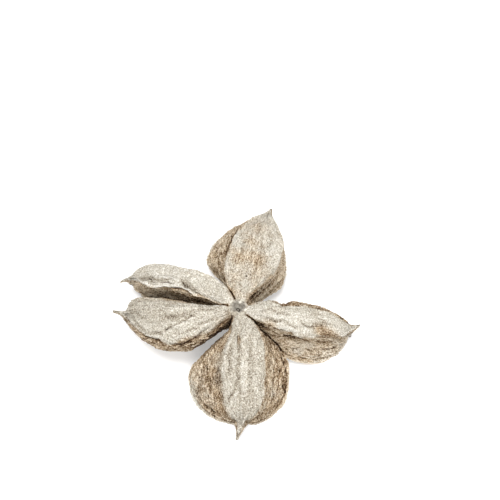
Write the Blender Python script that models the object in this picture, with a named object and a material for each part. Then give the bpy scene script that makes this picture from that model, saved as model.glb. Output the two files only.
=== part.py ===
"""A dry star-shaped seed pod of five open follicles, lying with its openings down.

Each follicle is a thick-walled boat: a raised back between two crests, and two
flanks that drop to the lips of the split along its underside. The follicles
grow out of one hub, whose stalk scar faces up. The pod grew as one piece, so
the follicles and the hub are joined into one solid. Metres, +Z up.
"""

import bmesh
import bpy
import numpy as np

# Hub: its axis in plan, the backs' height there, its underside and its stalk scar
HUB_X = 0.00113
HUB_Y = -0.00087
HUB_TOP = 0.0190
HUB_FOOT = 0.0090
HUB_RADIUS = 0.0044
SCAR_RADIUS = 0.0025
SCAR_RISE = 0.0005
SCAR_DIP = 0.0005

# Walls, necks and beaks that all the follicles share
WALL = 0.0013
LIP_ROUND = 0.0005
NECK_RADIUS = 0.0038
NECK_START = 0.0018
TIP_RADIUS = 0.0006
HOLLOW_FROM = 0.07
HOLLOW_FULL = 0.24
HOLLOW_END = 0.975
HOLLOW_END_FULL = 0.88

# How finely each follicle is divided: along its body, along its beak, across its skin
ROWS_BODY = 21
ROWS_BEAK = 5
COLUMNS = 17
HUB_SIDES = 24

# One follicle each. Azimuth in degrees, anticlockwise from +X. Lengths in metres:
# body and length run from the hub axis to the foot and tip of the beak, tip is the
# beak's sideways bend and height, bow is the body's sideways bend, arch lifts the
# back, keel dips its middle line, beak is the beak's radius at its foot and shut
# says how bluntly the body closes there, taper how soon the beak thins. Each side
# has a crest and a rim, as (width, share of the body where it is widest, fullness at
# the neck, and at the beak), the crest's fall and, from crest to rim, the flank's
# (share, fall) pairs.
FOLLICLES = {
    "front": dict(
        azimuth=-88.8, body=0.0442, length=0.0515, tip=(-0.0010, 0.0045), bow=0.0004,
        arch=0.0078, keel=0.0008, beak=0.0028, shut=0.59, taper=2.0,
        left=dict(crest=(0.0104, 0.55, 0.40, 0.20), rim=(0.0203, 0.53, 0.75, 0.43),
                  fall=0.0016,
                  flank=[(0.10, 0.0050), (0.36, 0.0090), (0.76, 0.0130), (1, 0.0164)]),
        right=dict(crest=(0.0084, 0.74, 0.95, 0.34), rim=(0.0215, 0.55, 1.75, 0.51),
                   fall=0.0022,
                   flank=[(0.28, 0.0054), (0.60, 0.0088), (0.86, 0.0126), (1, 0.0165)])),
    "right": dict(
        azimuth=-5.1, body=0.0463, length=0.0505, tip=(0.0012, 0.0084), bow=-0.0008,
        arch=0.0078, keel=0.0002, beak=0.0025, shut=0.39, taper=1.15,
        left=dict(crest=(0.0049, 0.69, 0.44, 0.30), rim=(0.0086, 0.59, 1.03, 0.46),
                  fall=0.0018,
                  flank=[(0.30, 0.0050), (0.50, 0.0085), (0.80, 0.0120), (1, 0.0152)]),
        right=dict(crest=(0.0086, 0.49, 0.66, 0.27), rim=(0.0145, 0.55, 1.77, 0.47),
                   fall=0.0018,
                   flank=[(0.00, 0.0050), (-0.20, 0.0088), (0.50, 0.0135), (1, 0.0184)])),
    "back": dict(
        azimuth=76.2, body=0.0520, length=0.0550, tip=(-0.0010, 0.0078), bow=-0.0008,
        arch=0.0088, keel=0.0002, beak=0.0025, shut=0.46, taper=1.25,
        left=dict(crest=(0.0108, 0.30, 0.90, 0.47), rim=(0.0216, 0.50, 2.60, 0.53),
                  fall=0.0020,
                  flank=[(0.22, 0.0060), (0.50, 0.0105), (0.83, 0.0147), (1, 0.0190)]),
        right=dict(crest=(0.0105, 0.41, 1.22, 0.60), rim=(0.0135, 0.44, 1.76, 0.84),
                   fall=0.0016,
                   flank=[(0.30, 0.0050), (0.10, 0.0100), (0.50, 0.0145), (1, 0.0192)])),
    "left_back": dict(
        azimuth=159.3, body=0.0491, length=0.0526, tip=(0.0022, 0.0100), bow=-0.0022,
        arch=0.0078, keel=0.0004, beak=0.0018, shut=0.69, taper=1.7,
        left=dict(crest=(0.0047, 0.65, 0.47, 0.58), rim=(0.0068, 0.46, 0.90, 0.56),
                  fall=0.0018,
                  flank=[(-0.15, 0.0055), (-0.40, 0.0095), (0.00, 0.0137), (1, 0.0182)]),
        right=dict(crest=(0.0066, 0.30, 0.40, 0.20), rim=(0.0092, 0.83, 1.14, 0.42),
                   fall=0.0020,
                   flank=[(0.60, 0.0055), (1.00, 0.0095), (1.00, 0.0135), (1, 0.0178)])),
    "left_front": dict(
        azimuth=176, body=0.0473, length=0.0528, tip=(0.0004, 0.0086), bow=0.0042,
        arch=0.0086, keel=0, beak=0.0020, shut=0.49, taper=2.1,
        left=dict(crest=(0.0128, 0.44, 0.97, 0.59), rim=(0.0096, 0.41, 2.10, 0.65),
                  fall=0.0024,
                  flank=[(-0.60, 0.0060), (-0.40, 0.0110), (0.40, 0.0160), (1, 0.0210)]),
        right=dict(crest=(0.0044, 0.85, 1.49, 0.21), rim=(0.0096, 0.85, 1.38, 0.20),
                   fall=0.0020,
                   flank=[(0.70, 0.0060), (1.00, 0.0100), (0.90, 0.0138), (0.8, 0.0182)])),
}


def leaf(share, widest, neck, end):
    """A leaf's width along its length: 1 at its widest, 0 at both ends."""
    near = np.clip(1 - (1 - share / widest) ** 2, 0, 1) ** neck
    far = np.clip(1 - ((share - widest) / (1 - widest)) ** 2, 0, 1) ** end
    return np.where(share < widest, near, far)


def ease(low, high, value):
    """A smooth step from 0 at low to 1 at high."""
    share = np.clip((value - low) / (high - low), 0, 1)
    return share * share * (3 - 2 * share)


def spread(controls, share):
    """Points on the smooth curve through each row of controls, at these shares of it."""
    last = controls.shape[1] - 1
    before = 2 * controls[:, :1] - controls[:, 1:2]
    after = 2 * controls[:, -1:] - controls[:, -2:-1]
    padded = np.concatenate([before, controls, after], axis=1)
    place = np.clip(share, 0, 1) * last
    start = np.minimum(place.astype(int), last - 1)
    f = (place - start)[None, :, None]
    a, b, c, d = (padded[:, start + step] for step in range(4))
    return 0.5 * (2 * b + (c - a) * f + (2 * a - 5 * b + 4 * c - d) * f**2
                  + (3 * b - a - 3 * c + d) * f**3)


def half_section(side, sign, share, core, depth, sunk):
    """Control points of one half's cross-sections, from beside the keel to the rim."""
    crest = side["crest"][0] * leaf(share, *side["crest"][1:])
    rim = side["rim"][0] * leaf(share, *side["rim"][1:])
    widths = [0.33 * crest, 0.7 * crest, crest]
    widths += [crest + part * (rim - crest) for part, _ in side["flank"]]
    falls = [0.15 * side["fall"], 0.25 * side["fall"], side["fall"]]
    falls += [fall for _, fall in side["flank"]]
    open_share = np.clip(rim / side["rim"][0], 0, 1)
    controls = []
    for step, (width, fall) in enumerate(zip(widths, falls)):
        turn = np.pi / 2 * (step + 1) / len(widths)
        across = sign * np.hypot(width, core * np.sin(turn) * (1 - open_share))
        down = fall * sunk + depth * (1 - np.cos(turn)) * (1 - sunk)
        controls.append(np.stack([across, down], -1))
    return controls


def outer_skin(pod, rows_body, rows_beak, columns):
    """Grid of points on a follicle's outside: rows from hub to tip, columns from rim to rim."""
    even = np.linspace(0, 1, rows_body)
    beak = np.linspace(0, 1, rows_beak + 1)[1:]
    share = np.concatenate([(1 - np.cos(np.pi * even)) / 2, np.ones(rows_beak)])
    even = np.concatenate([even, np.ones(rows_beak)])
    beak = np.concatenate([np.zeros(rows_body), beak])
    body_core = NECK_RADIUS + (pod["beak"] - NECK_RADIUS) * share
    beak_core = TIP_RADIUS + (pod["beak"] - TIP_RADIUS) * (1 - beak) ** pod["taper"]
    core = np.where(beak > 0, beak_core, body_core)
    hub_depth = HUB_TOP - HUB_FOOT
    body_depth = hub_depth + (2 * pod["beak"] - hub_depth) * share
    depth = np.where(beak > 0, 2 * core, body_depth)
    sunk = leaf(share, 0.5, 0.65, pod["shut"])

    left = half_section(pod["left"], 1, share, core, depth, sunk)
    right = half_section(pod["right"], -1, share, core, depth, sunk)
    keel = np.stack([0 * share, pod["keel"] * sunk], -1)
    across = np.linspace(-1, 1, columns)
    section = spread(np.stack(left[::-1] + [keel] + right, axis=1), (across + 1) / 2)

    body = pod["body"]
    along_rim = NECK_START + (body - NECK_START) * share[:, None]
    along_keel = NECK_START + (body - NECK_START) * (0.4 * even + 0.6 * share)[:, None]
    x = along_keel + (along_rim - along_keel) * np.abs(across)[None, :] ** 1.5
    x = x + ((pod["length"] - body) * beak)[:, None]
    far = np.clip(x / pod["length"], 0, 1)
    lift = pod["arch"] * leaf(share, 0.5, 0.75, 0.6)
    z = HUB_TOP + (pod["tip"][1] - HUB_TOP) * far + lift[:, None] - section[..., 1]
    y = section[..., 0] + pod["bow"] * 4 * far * (1 - far) + (pod["tip"][0] * beak**1.5)[:, None]
    turn = np.radians(pod["azimuth"])
    plan_x = HUB_X + x * np.cos(turn) - y * np.sin(turn)
    plan_y = HUB_Y + x * np.sin(turn) + y * np.cos(turn)
    return np.stack([plan_x, plan_y, z], -1), share, beak


def unit(vectors):
    return vectors / np.linalg.norm(vectors, axis=-1, keepdims=True)


def follicle_loops(pod):
    """Closed loops round a follicle's wall: outside, lip, inside, lip."""
    outside, share, beak = outer_skin(pod, ROWS_BODY, ROWS_BEAK, COLUMNS)
    inward = unit(np.cross(np.gradient(outside, axis=0), np.gradient(outside, axis=1)))
    gape = np.linalg.norm(outside[:, -1] - outside[:, 0], axis=-1)
    wall = np.minimum(WALL, 0.3 * gape)[:, None, None]
    hollow = ease(HOLLOW_FROM, HOLLOW_FULL, share) * (1 - ease(HOLLOW_END_FULL, HOLLOW_END, share))
    inside = outside + wall * inward
    across = np.linspace(0, 1, COLUMNS)[None, :, None]
    floor = inside[:, :1] + (inside[:, -1:] - inside[:, :1]) * across
    inside = floor + (inside - floor) * hollow[:, None, None]

    loops = [outside]
    for column, neighbour in ((-1, -2), (0, 1)):
        edge = outside[:, column]
        inner = inside[:, column]
        outward = unit(edge - outside[:, neighbour])
        bulge = LIP_ROUND * (wall[:, 0] / WALL) * outward
        lip = [edge + (inner - edge) * part + bulge for part in (0.2, 0.8)]
        if column == -1:
            loops += [np.stack(lip, axis=1), inside[:, ::-1]]
        else:
            loops += [np.stack(lip[::-1], axis=1)]
    return np.concatenate(loops, axis=1)


def solid_from_loops(name, loops):
    """A closed mesh object from rows of points that each go once round it."""
    rows, columns = loops.shape[:2]
    mesh = bmesh.new()
    verts = [[mesh.verts.new(point) for point in row] for row in loops.tolist()]
    for a, b in zip(verts[:-1], verts[1:]):
        for column in range(columns):
            after = (column + 1) % columns
            mesh.faces.new((a[column], a[after], b[after], b[column]))
    mesh.faces.new(verts[0][::-1])
    mesh.faces.new(verts[-1])
    data = bpy.data.meshes.new(name)
    mesh.to_mesh(data)
    mesh.free()
    return bpy.data.objects.new(name, data)


def hub():
    """The block that the necks grow from, with the ringed stalk scar on top."""
    profile = [
        (0.0010, HUB_FOOT + 0.0006),
        (HUB_RADIUS - 0.0012, HUB_FOOT + 0.0006),
        (HUB_RADIUS, HUB_FOOT + 0.0022),
        (HUB_RADIUS, HUB_TOP - 0.0026),
        (HUB_RADIUS - 0.0008, HUB_TOP - 0.0010),
        (SCAR_RADIUS, HUB_TOP + SCAR_RISE),
        (SCAR_RADIUS - 0.0006, HUB_TOP + SCAR_RISE),
        (SCAR_RADIUS - 0.0012, HUB_TOP + SCAR_RISE - SCAR_DIP),
        (0.0004, HUB_TOP + SCAR_RISE - SCAR_DIP),
    ]
    turns = np.linspace(0, 2 * np.pi, HUB_SIDES, endpoint=False)
    rings = [[(HUB_X + r * np.cos(a), HUB_Y + r * np.sin(a), z) for a in turns] for r, z in profile]
    return solid_from_loops("hub", np.array(rings))


def floor_block():
    """What the lips are cut flat against: everything under z = 0."""
    mesh = bmesh.new()
    bmesh.ops.create_cube(mesh, size=1)
    bmesh.ops.scale(mesh, vec=(0.2, 0.2, 0.02), verts=mesh.verts)
    bmesh.ops.translate(mesh, vec=(0, 0, -0.01), verts=mesh.verts)
    data = bpy.data.meshes.new("floor_block")
    mesh.to_mesh(data)
    mesh.free()
    return bpy.data.objects.new("floor_block", data)


def apply_boolean(target, operation, helper):
    """Joins the target with a collection of solids, or cuts one solid from it."""
    modifier = target.modifiers.new(operation.title(), "BOOLEAN")
    modifier.operation = operation
    modifier.solver = "EXACT"
    if operation == "UNION":
        modifier.operand_type = "COLLECTION"
        modifier.collection = helper
    else:
        modifier.object = helper
    bpy.context.view_layer.objects.active = target
    bpy.ops.object.modifier_apply(modifier=modifier.name)


def husk_material():
    material = bpy.data.materials.new("husk")
    material.use_nodes = True
    shader = material.node_tree.nodes["Principled BSDF"]
    shader.inputs["Base Color"].default_value = (0.58, 0.50, 0.38, 1)
    shader.inputs["Roughness"].default_value = 0.85
    shader.inputs["Metallic"].default_value = 0
    material.diffuse_color = (0.58, 0.50, 0.38, 1)
    return material


def main():
    for old in list(bpy.data.objects):
        bpy.data.objects.remove(old)
    scene = bpy.context.scene

    pod = hub()
    pod.name = "pod"
    scene.collection.objects.link(pod)
    follicles = bpy.data.collections.new("follicles")
    scene.collection.children.link(follicles)
    for name, values in FOLLICLES.items():
        follicles.objects.link(solid_from_loops(name, follicle_loops(values)))
    apply_boolean(pod, "UNION", follicles)
    block = floor_block()
    scene.collection.objects.link(block)
    apply_boolean(pod, "DIFFERENCE", block)
    for helper in list(follicles.objects) + [block]:
        bpy.data.objects.remove(helper)
    bpy.data.collections.remove(follicles)

    pod.data.materials.clear()
    pod.data.materials.append(husk_material())
    pod.data.shade_smooth()
    pod.data.set_sharp_from_angle(angle=np.radians(50))


main()
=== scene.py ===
"""Looks of a dry star-shaped seed pod that lies with its five open follicles down."""

import bpy
import numpy as np
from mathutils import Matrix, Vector
from mathutils.bvhtree import BVHTree


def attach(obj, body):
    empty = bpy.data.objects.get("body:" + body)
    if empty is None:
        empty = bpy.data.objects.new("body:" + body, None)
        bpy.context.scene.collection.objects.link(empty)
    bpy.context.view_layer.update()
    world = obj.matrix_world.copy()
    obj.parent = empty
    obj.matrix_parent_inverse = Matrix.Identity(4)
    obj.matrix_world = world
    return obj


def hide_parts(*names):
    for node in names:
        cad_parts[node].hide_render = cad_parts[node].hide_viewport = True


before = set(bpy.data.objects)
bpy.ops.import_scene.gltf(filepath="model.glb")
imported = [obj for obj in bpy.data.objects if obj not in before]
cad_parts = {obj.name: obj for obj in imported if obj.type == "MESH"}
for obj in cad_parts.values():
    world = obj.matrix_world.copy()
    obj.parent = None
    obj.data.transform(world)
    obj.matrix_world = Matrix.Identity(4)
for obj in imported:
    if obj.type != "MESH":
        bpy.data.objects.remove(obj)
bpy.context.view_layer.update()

# Hub: its axis in plan, the backs' height there, its underside and its stalk scar, with
# the glint and a chip as (x, y, size) and a pit as (x, y, radius) from the axis. The glint
# is a painted highlight: a pale, raised spot on the scar
HUB_X = 0.00113
HUB_Y = -0.00087
HUB_TOP = 0.0190
HUB_FOOT = 0.0090
HUB_RADIUS = 0.0044
SCAR_RADIUS = 0.0025
SCAR_RISE = 0.0005
SCAR_CHIPS_AND_GLINT = [(0.0008, 0.0021, 0.0011), (0.0032, -0.0015, 0.0010)]
SCAR_PIT = (-0.0002, -0.0014, 0.0007)

# Walls, necks and beaks that all the follicles share. The hollow opens and closes
# between these shares of the body
WALL = 0.0013
LIP_ROUND = 0.0005
NECK_RADIUS = 0.0038
NECK_START = 0.0018
TIP_RADIUS = 0.0006
HOLLOW_FROM = 0.07
HOLLOW_FULL = 0.24
HOLLOW_END = 0.975
HOLLOW_END_FULL = 0.88

# How finely each follicle and the hub are divided
ROWS_BODY = 250
ROWS_BEAK = 26
CAP_ROWS = 4
OUTSIDE_COLUMNS = 201
LIP_COLUMNS = 7
INSIDE_COLUMNS = 101
HUB_ROWS = 90
HUB_COLUMNS = 145

# One follicle each. Azimuth in degrees, anticlockwise from +X. Lengths in metres:
# body and length run from the hub axis to the foot and tip of the beak, tip is the
# beak's sideways bend and height, bow is the body's sideways bend, arch lifts the
# back, keel dips its middle line, beak is the beak's radius at its foot and shut
# says how bluntly the body closes there, taper how soon the beak thins. Each side
# has a crest and a rim, as (width, share of the body where it is widest, fullness at
# the neck, and at the beak), the crest's fall and, from crest to rim, the flank's
# (share, fall) pairs.
FOLLICLES = {
    "front": dict(
        azimuth=-88.8, body=0.0442, length=0.0515, tip=(-0.0017, 0.0045), bow=0.0004,
        arch=0.0078, keel=0.0008, beak=0.0028, shut=0.59, taper=1.5,
        left=dict(crest=(0.0104, 0.55, 0.40, 0.20), rim=(0.0203, 0.53, 0.75, 0.43),
                  fall=0.0016,
                  flank=[(0.10, 0.0050), (0.36, 0.0090), (0.76, 0.0130), (1, 0.0164)]),
        right=dict(crest=(0.0084, 0.74, 0.95, 0.34), rim=(0.0215, 0.55, 1.75, 0.51),
                   fall=0.0022,
                   flank=[(0.28, 0.0054), (0.60, 0.0088), (0.86, 0.0126), (1, 0.0165)])),
    "right": dict(
        azimuth=-5.1, body=0.0463, length=0.0505, tip=(0.0012, 0.0084), bow=-0.0008,
        arch=0.0078, keel=0.0002, beak=0.0025, shut=0.39, taper=1.15,
        left=dict(crest=(0.0049, 0.69, 0.44, 0.30), rim=(0.0086, 0.59, 1.03, 0.46),
                  fall=0.0018,
                  flank=[(0.30, 0.0050), (0.50, 0.0085), (0.80, 0.0120), (1, 0.0152)]),
        right=dict(crest=(0.0086, 0.49, 0.66, 0.27), rim=(0.0145, 0.55, 1.77, 0.47),
                   fall=0.0018,
                   flank=[(0.00, 0.0050), (-0.20, 0.0088), (0.50, 0.0135), (1, 0.0184)])),
    "back": dict(
        azimuth=76.2, body=0.0520, length=0.0550, tip=(-0.0010, 0.0078), bow=-0.0008,
        arch=0.0088, keel=0.0002, beak=0.0025, shut=0.46, taper=1.25,
        left=dict(crest=(0.0108, 0.30, 0.90, 0.47), rim=(0.0216, 0.50, 2.60, 0.53),
                  fall=0.0020,
                  flank=[(0.22, 0.0060), (0.50, 0.0105), (0.83, 0.0147), (1, 0.0190)]),
        right=dict(crest=(0.0105, 0.41, 1.22, 0.60), rim=(0.0135, 0.44, 1.76, 0.84),
                   fall=0.0016,
                   flank=[(0.30, 0.0050), (0.10, 0.0100), (0.50, 0.0145), (1, 0.0192)])),
    "left_back": dict(
        azimuth=159.3, body=0.0491, length=0.0526, tip=(0.0022, 0.0100), bow=-0.0022,
        arch=0.0078, keel=0.0004, beak=0.0018, shut=0.69, taper=1.7,
        left=dict(crest=(0.0047, 0.65, 0.47, 0.58), rim=(0.0068, 0.46, 0.90, 0.56),
                  fall=0.0018,
                  flank=[(-0.15, 0.0055), (-0.40, 0.0095), (0.00, 0.0137), (1, 0.0182)]),
        right=dict(crest=(0.0066, 0.30, 0.40, 0.20), rim=(0.0092, 0.83, 1.14, 0.42),
                   fall=0.0020,
                   flank=[(0.60, 0.0055), (1.00, 0.0095), (1.00, 0.0135), (1, 0.0178)])),
    "left_front": dict(
        azimuth=176, body=0.0473, length=0.0528, tip=(0.0004, 0.0086), bow=0.0042,
        arch=0.0086, keel=0, beak=0.0020, shut=0.49, taper=2.1,
        left=dict(crest=(0.0128, 0.44, 0.97, 0.59), rim=(0.0096, 0.41, 2.10, 0.65),
                  fall=0.0024,
                  flank=[(-0.60, 0.0060), (-0.40, 0.0110), (0.40, 0.0160), (1, 0.0210)]),
        right=dict(crest=(0.0044, 0.85, 1.49, 0.21), rim=(0.0096, 0.85, 1.38, 0.20),
                   fall=0.0020,
                   flank=[(0.70, 0.0060), (1.00, 0.0100), (0.90, 0.0138), (0.8, 0.0182)])),
}

# What single follicles show. A crease is its (share of the body, place across from
# rim -1 to rim 1) points, its width and its depth, and a negative depth is a ridge. A
# bulge is its share, place across, height, length and width, and a negative height is
# a dent. A patch is its share, place across, length, width and how much browner it is.
# Creases are drawn darker by their depth, ridges paler and dents darker: painted shade and highlight. The
# broad creases at the necks, the right follicle's second crease under its fold and its third patch are
# there mostly as painted shade.
CREASES = {
    "front": [
        ([(0.18, 0.01), (0.30, 0.03), (0.45, 0.00), (0.62, 0.06), (0.78, 0.03), (0.98, 0.03)],
         0.0008, 0.00038),
        ([(0.70, 0.08), (0.80, 0.13), (0.86, 0.21), (0.90, 0.31), (0.93, 0.42)], 0.0010, 0.00045),
        ([(0.40, 0.43), (0.60, 0.47), (0.76, 0.46), (0.90, 0.43)], 0.0020, 0.00036),
        ([(0.30, 0.20), (0.45, 0.24), (0.60, 0.20), (0.70, 0.22)], 0.0012, 0.00030),
        ([(0.22, -0.14), (0.42, -0.17), (0.66, -0.15), (0.84, -0.18)], 0.0011, 0.00026),
        ([(0.66, 0.86), (0.80, 0.84), (0.96, 0.78)], 0.0007, 0.00045),
        ([(0.55, 0.94), (0.75, 0.93), (0.97, 0.88)], 0.0006, 0.00040),
        ([(0.30, -0.84), (0.50, -0.90), (0.72, -0.91), (0.94, -0.86)], 0.0009, 0.00050),
        ([(0.34, -0.50), (0.43, -0.53), (0.52, -0.50)], 0.0007, 0.00035),
        ([(0.45, -0.68), (0.62, -0.72), (0.80, -0.70)], 0.0009, 0.00030),
    ],
    "right": [
        ([(0.08, 0.42), (0.30, 0.47), (0.42, 0.50), (0.52, 0.60), (0.60, 0.66), (0.66, 0.60),
          (0.72, 0.50), (0.82, 0.56), (0.94, 0.52)], 0.0011, 0.00060),
        ([(0.08, 0.62), (0.25, 0.66), (0.40, 0.72), (0.52, 0.735), (0.62, 0.73), (0.72, 0.71)],
         0.0013, 0.00060),
        ([(0.14, 0.26), (0.26, 0.30), (0.36, 0.26), (0.50, 0.32), (0.58, 0.26)], 0.0008, 0.00050),
        ([(0.50, 0.14), (0.60, 0.24), (0.66, 0.30), (0.74, 0.18), (0.86, 0.12)], 0.0009, 0.00045),
        ([(0.10, 0.10), (0.22, 0.04), (0.34, 0.12), (0.48, 0.08)], 0.0008, 0.00036),
        ([(0.70, 0.04), (0.84, 0.12), (0.96, 0.16)], 0.0007, 0.00036),
        ([(0.40, 0.78), (0.48, 0.86), (0.60, 0.83), (0.70, 0.86)], 0.0007, 0.00040),
        ([(0.68, 0.72), (0.80, 0.77), (0.92, 0.73)], 0.0007, 0.00045),
        ([(0.72, 0.82), (0.84, 0.85), (0.94, 0.80)], 0.0006, 0.00035),
        ([(0.02, 0.58), (0.14, 0.64), (0.32, 0.70)], 0.0026, 0.00050),
    ],
    "back": [
        ([(0.10, 0.03), (0.22, 0.10), (0.36, 0.13), (0.50, 0.10), (0.66, 0.12)], 0.0012, 0.00008),
        ([(0.46, 0.25), (0.62, 0.20), (0.80, 0.15), (0.96, 0.06)], 0.0008, 0.00014),
        ([(0.20, -0.24), (0.40, -0.20), (0.62, -0.23)], 0.0010, 0.00010),
        ([(0.184, -0.02), (0.192, -0.01)], 0.0005, 0.00110),
        ([(0.324, -0.03), (0.330, -0.02)], 0.0004, 0.00070),
        ([(0.34, -0.50), (0.50, -0.54), (0.68, -0.56), (0.86, -0.50)], 0.0013, 0.00060),
        ([(0.24, -0.68), (0.44, -0.72), (0.64, -0.70)], 0.0009, 0.00030),
        ([(0.30, -0.83), (0.50, -0.85), (0.70, -0.80), (0.84, -0.70)], 0.0008, -0.00040),
        ([(0.25, -0.90), (0.45, -0.91), (0.70, -0.88)], 0.0006, 0.00045),
        ([(0.03, 0.56), (0.12, 0.60), (0.24, 0.62)], 0.0022, 0.00050),
        ([(0.06, 0.56), (0.22, 0.60), (0.42, 0.64)], 0.0008, 0.00050),
        ([(0.06, 0.70), (0.22, 0.73), (0.42, 0.77)], 0.0008, 0.00060),
        ([(0.08, 0.80), (0.26, 0.83), (0.48, 0.86)], 0.0009, -0.00060),
        ([(0.08, 0.90), (0.28, 0.91), (0.52, 0.92)], 0.0006, 0.00045),
    ],
    "left_back": [
        ([(0.22, -0.72), (0.34, -0.52), (0.42, -0.42), (0.50, -0.40), (0.60, -0.44), (0.70, -0.47),
          (0.80, -0.50), (0.90, -0.50), (0.97, -0.36)], 0.0009, 0.00100),
        ([(0.28, -0.48), (0.40, -0.33), (0.50, -0.30), (0.60, -0.34), (0.70, -0.38), (0.80, -0.41),
          (0.94, -0.32)], 0.0007, -0.00018),
        ([(0.62, -0.35), (0.74, -0.36), (0.86, -0.32), (0.95, -0.24)], 0.0005, 0.00070),
        ([(0.54, -0.19), (0.66, -0.26), (0.76, -0.28), (0.86, -0.22), (0.97, -0.12)], 0.0006, 0.00090),
        ([(0.58, -0.09), (0.70, -0.17), (0.80, -0.16), (0.92, -0.05)], 0.0007, 0.00070),
        ([(0.26, -0.32), (0.38, -0.24), (0.47, -0.14), (0.53, 0.03)], 0.0009, 0.00080),
        ([(0.24, -0.44), (0.36, -0.34), (0.45, -0.26), (0.50, -0.20)], 0.0007, 0.00075),
        ([(0.30, -0.18), (0.40, -0.10), (0.48, 0.00)], 0.0009, 0.00044),
    ],
    "left_front": [
        ([(0.26, -0.06), (0.37, -0.14), (0.43, -0.17), (0.50, -0.21), (0.58, -0.28), (0.68, -0.38)],
         0.0007, 0.00060),
        ([(0.28, -0.05), (0.38, -0.09), (0.52, -0.12), (0.66, -0.12)], 0.0015, 0.00050),
        ([(0.81, -0.16), (0.88, -0.15), (0.93, -0.07), (1.00, 0.00)], 0.0008, 0.00028),
        ([(0.60, -0.42), (0.68, -0.38), (0.77, -0.41), (0.87, -0.38), (0.92, -0.33), (0.99, -0.20)],
         0.0009, 0.00036),
        ([(0.10, -0.25), (0.20, -0.28), (0.30, -0.23)], 0.0008, 0.00040),
        ([(0.10, -0.07), (0.22, -0.04), (0.32, 0.01)], 0.0007, 0.00032),
        ([(0.25, -0.34), (0.33, -0.30), (0.42, -0.34)], 0.0008, 0.00040),
        ([(0.16, -0.42), (0.30, -0.46), (0.42, -0.51), (0.54, -0.53)], 0.0010, 0.00070),
        ([(0.60, -0.53), (0.72, -0.50), (0.86, -0.52)], 0.0008, 0.00050),
        ([(0.04, -0.58), (0.18, -0.66), (0.38, -0.76)], 0.0032, 0.00055),
    ],
}
BULGES = {
    "front": [(0.76, 0.27, 0.0008, 0.0050, 0.0022), (0.45, -0.28, 0.0004, 0.0090, 0.0030),
              (0.66, 0.62, -0.0005, 0.0060, 0.0040)],
    "right": [(0.58, 0.46, 0.0013, 0.0045, 0.0024), (0.36, 0.38, 0.0006, 0.0050, 0.0020),
              (0.82, 0.40, -0.0008, 0.0046, 0.0028), (0.355, -0.40, -0.0024, 0.0021, 0.0040),
              (0.22, -0.28, 0.0008, 0.0030, 0.0030), (0.70, -0.12, -0.0005, 0.0060, 0.0020)],
    "back": [(0.50, 0.36, 0.0005, 0.0160, 0.0030), (0.50, -0.28, 0.0004, 0.0120, 0.0040),
             (0.20, 0.20, 0.0004, 0.0050, 0.0030)],
    "left_back": [(0.68, -0.36, 0.0009, 0.0080, 0.0022), (0.47, -0.10, -0.0011, 0.0026, 0.0034),
                  (0.86, -0.36, 0.0005, 0.0040, 0.0020)],
    "left_front": [(0.46, -0.35, 0.0005, 0.0070, 0.0028), (0.74, -0.24, 0.0005, 0.0060, 0.0040),
                   (0.20, -0.20, 0.0005, 0.0040, 0.0025)],
}
PATCHES = {
    "front": [(0.30, 0.02, 0.0040, 0.0008, 0.3), (0.70, 0.95, 0.0120, 0.0030, -0.35),
              (0.60, -0.88, 0.0150, 0.0014, 0.4), (0.80, 0.50, 0.0050, 0.0030, 0.3)],
    "right": [(0.78, 0.34, 0.0046, 0.0028, 0.45), (0.89, 0.45, 0.0040, 0.0024, 0.45),
              (0.50, 0.73, 0.0120, 0.0014, 0.5), (0.16, -0.50, 0.0060, 0.0060, -0.6),
              (0.55, 0.97, 0.0150, 0.0016, 0.4), (0.20, 0.50, 0.0060, 0.0030, 0.4)],
    "back": [(0.46, -0.10, 0.0240, 0.0090, 0.36), (0.34, 0.14, 0.0090, 0.0018, 0.08),
             (0.62, -0.56, 0.0080, 0.0020, 0.4), (0.15, 0.70, 0.0080, 0.0060, 0.3)],
    "left_back": [(0.44, -0.60, 0.0060, 0.0040, 0.5), (0.72, -0.54, 0.0080, 0.0014, 0.5),
                  (0.70, -0.80, 0.0100, 0.0030, -0.5)],
    "left_front": [(0.24, -0.60, 0.0090, 0.0032, 0.9), (0.56, -0.50, 0.0030, 0.0016, -0.4),
                   (0.72, -0.58, 0.0070, 0.0024, 0.4)],
}

# Where each follicle's flanks turn brown, left and right: from and to, across, and how much
FLANK_TONES = {
    "front": ((0.38, 0.46, 0.50), (0.28, 0.64, 0.44)),
    "right": ((0.18, 0.26, 0.55), (0.46, 0.60, 0.34)),
    "back": ((0.42, 0.54, 0.56), (0.42, 0.52, 0.62)),
    "left_back": ((0.38, 0.56, 0.46), (0.45, 0.95, 0.15)),
    "left_front": ((0.42, 0.60, 0.62), (0.45, 0.85, 0.20)),
}

# How much paler or, below zero, more weathered each follicle's back and its left and
# right flanks are
PALENESS = {
    "front": (-0.15, 0.10, -0.10),
    "right": (0.40, -0.35, 0.65),
    "back": (0.32, 0.45, 0.95),
    "left_back": (0.35, 1.20, 0.35),
    "left_front": (-0.15, 0.00, -0.15),
}

# Relief on the outside, in metres: long swells, folds that run from neck to beak,
# finer fibres along them, the puckered net between the folds and the grooved rims, all
# sunk a little so that the folds don't stand higher than the plain wall. The inside's
# is finer
SINK = 0.00025
SWELL = 0.00045
FOLDS = 0.00042
FIBRES = 0.00024
NET = 0.00020
RIM_GROOVE = 0.00034
INSIDE_RELIEF = 0.00018

# Features of each kind of relief: a metre along the follicle, then a metre across its
# skin, or for folds, fibres and fine lines half the way from rim to rim
BLOTCH_RATE = (130, 150)
BEND_RATE = (110, 80)
SWELL_RATE = (80, 95)
FOLD_RATE = (52, 7)
FIBRE_RATE = (150, 25)
FINE_RATE = (330, 52)
NET_RATE = (520, 640)
WAVER_RATE = (330, 60)

# Grooves and raised bands beside the rims, as (distance from the rim, width, strength)
GROOVES = [(0.0016, 0.0006, 1.0), (0.0034, 0.0005, 0.5)]
BANDS = [(0.0004, 0.0006, 1.0), (0.0026, 0.0004, 0.8)]
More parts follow.
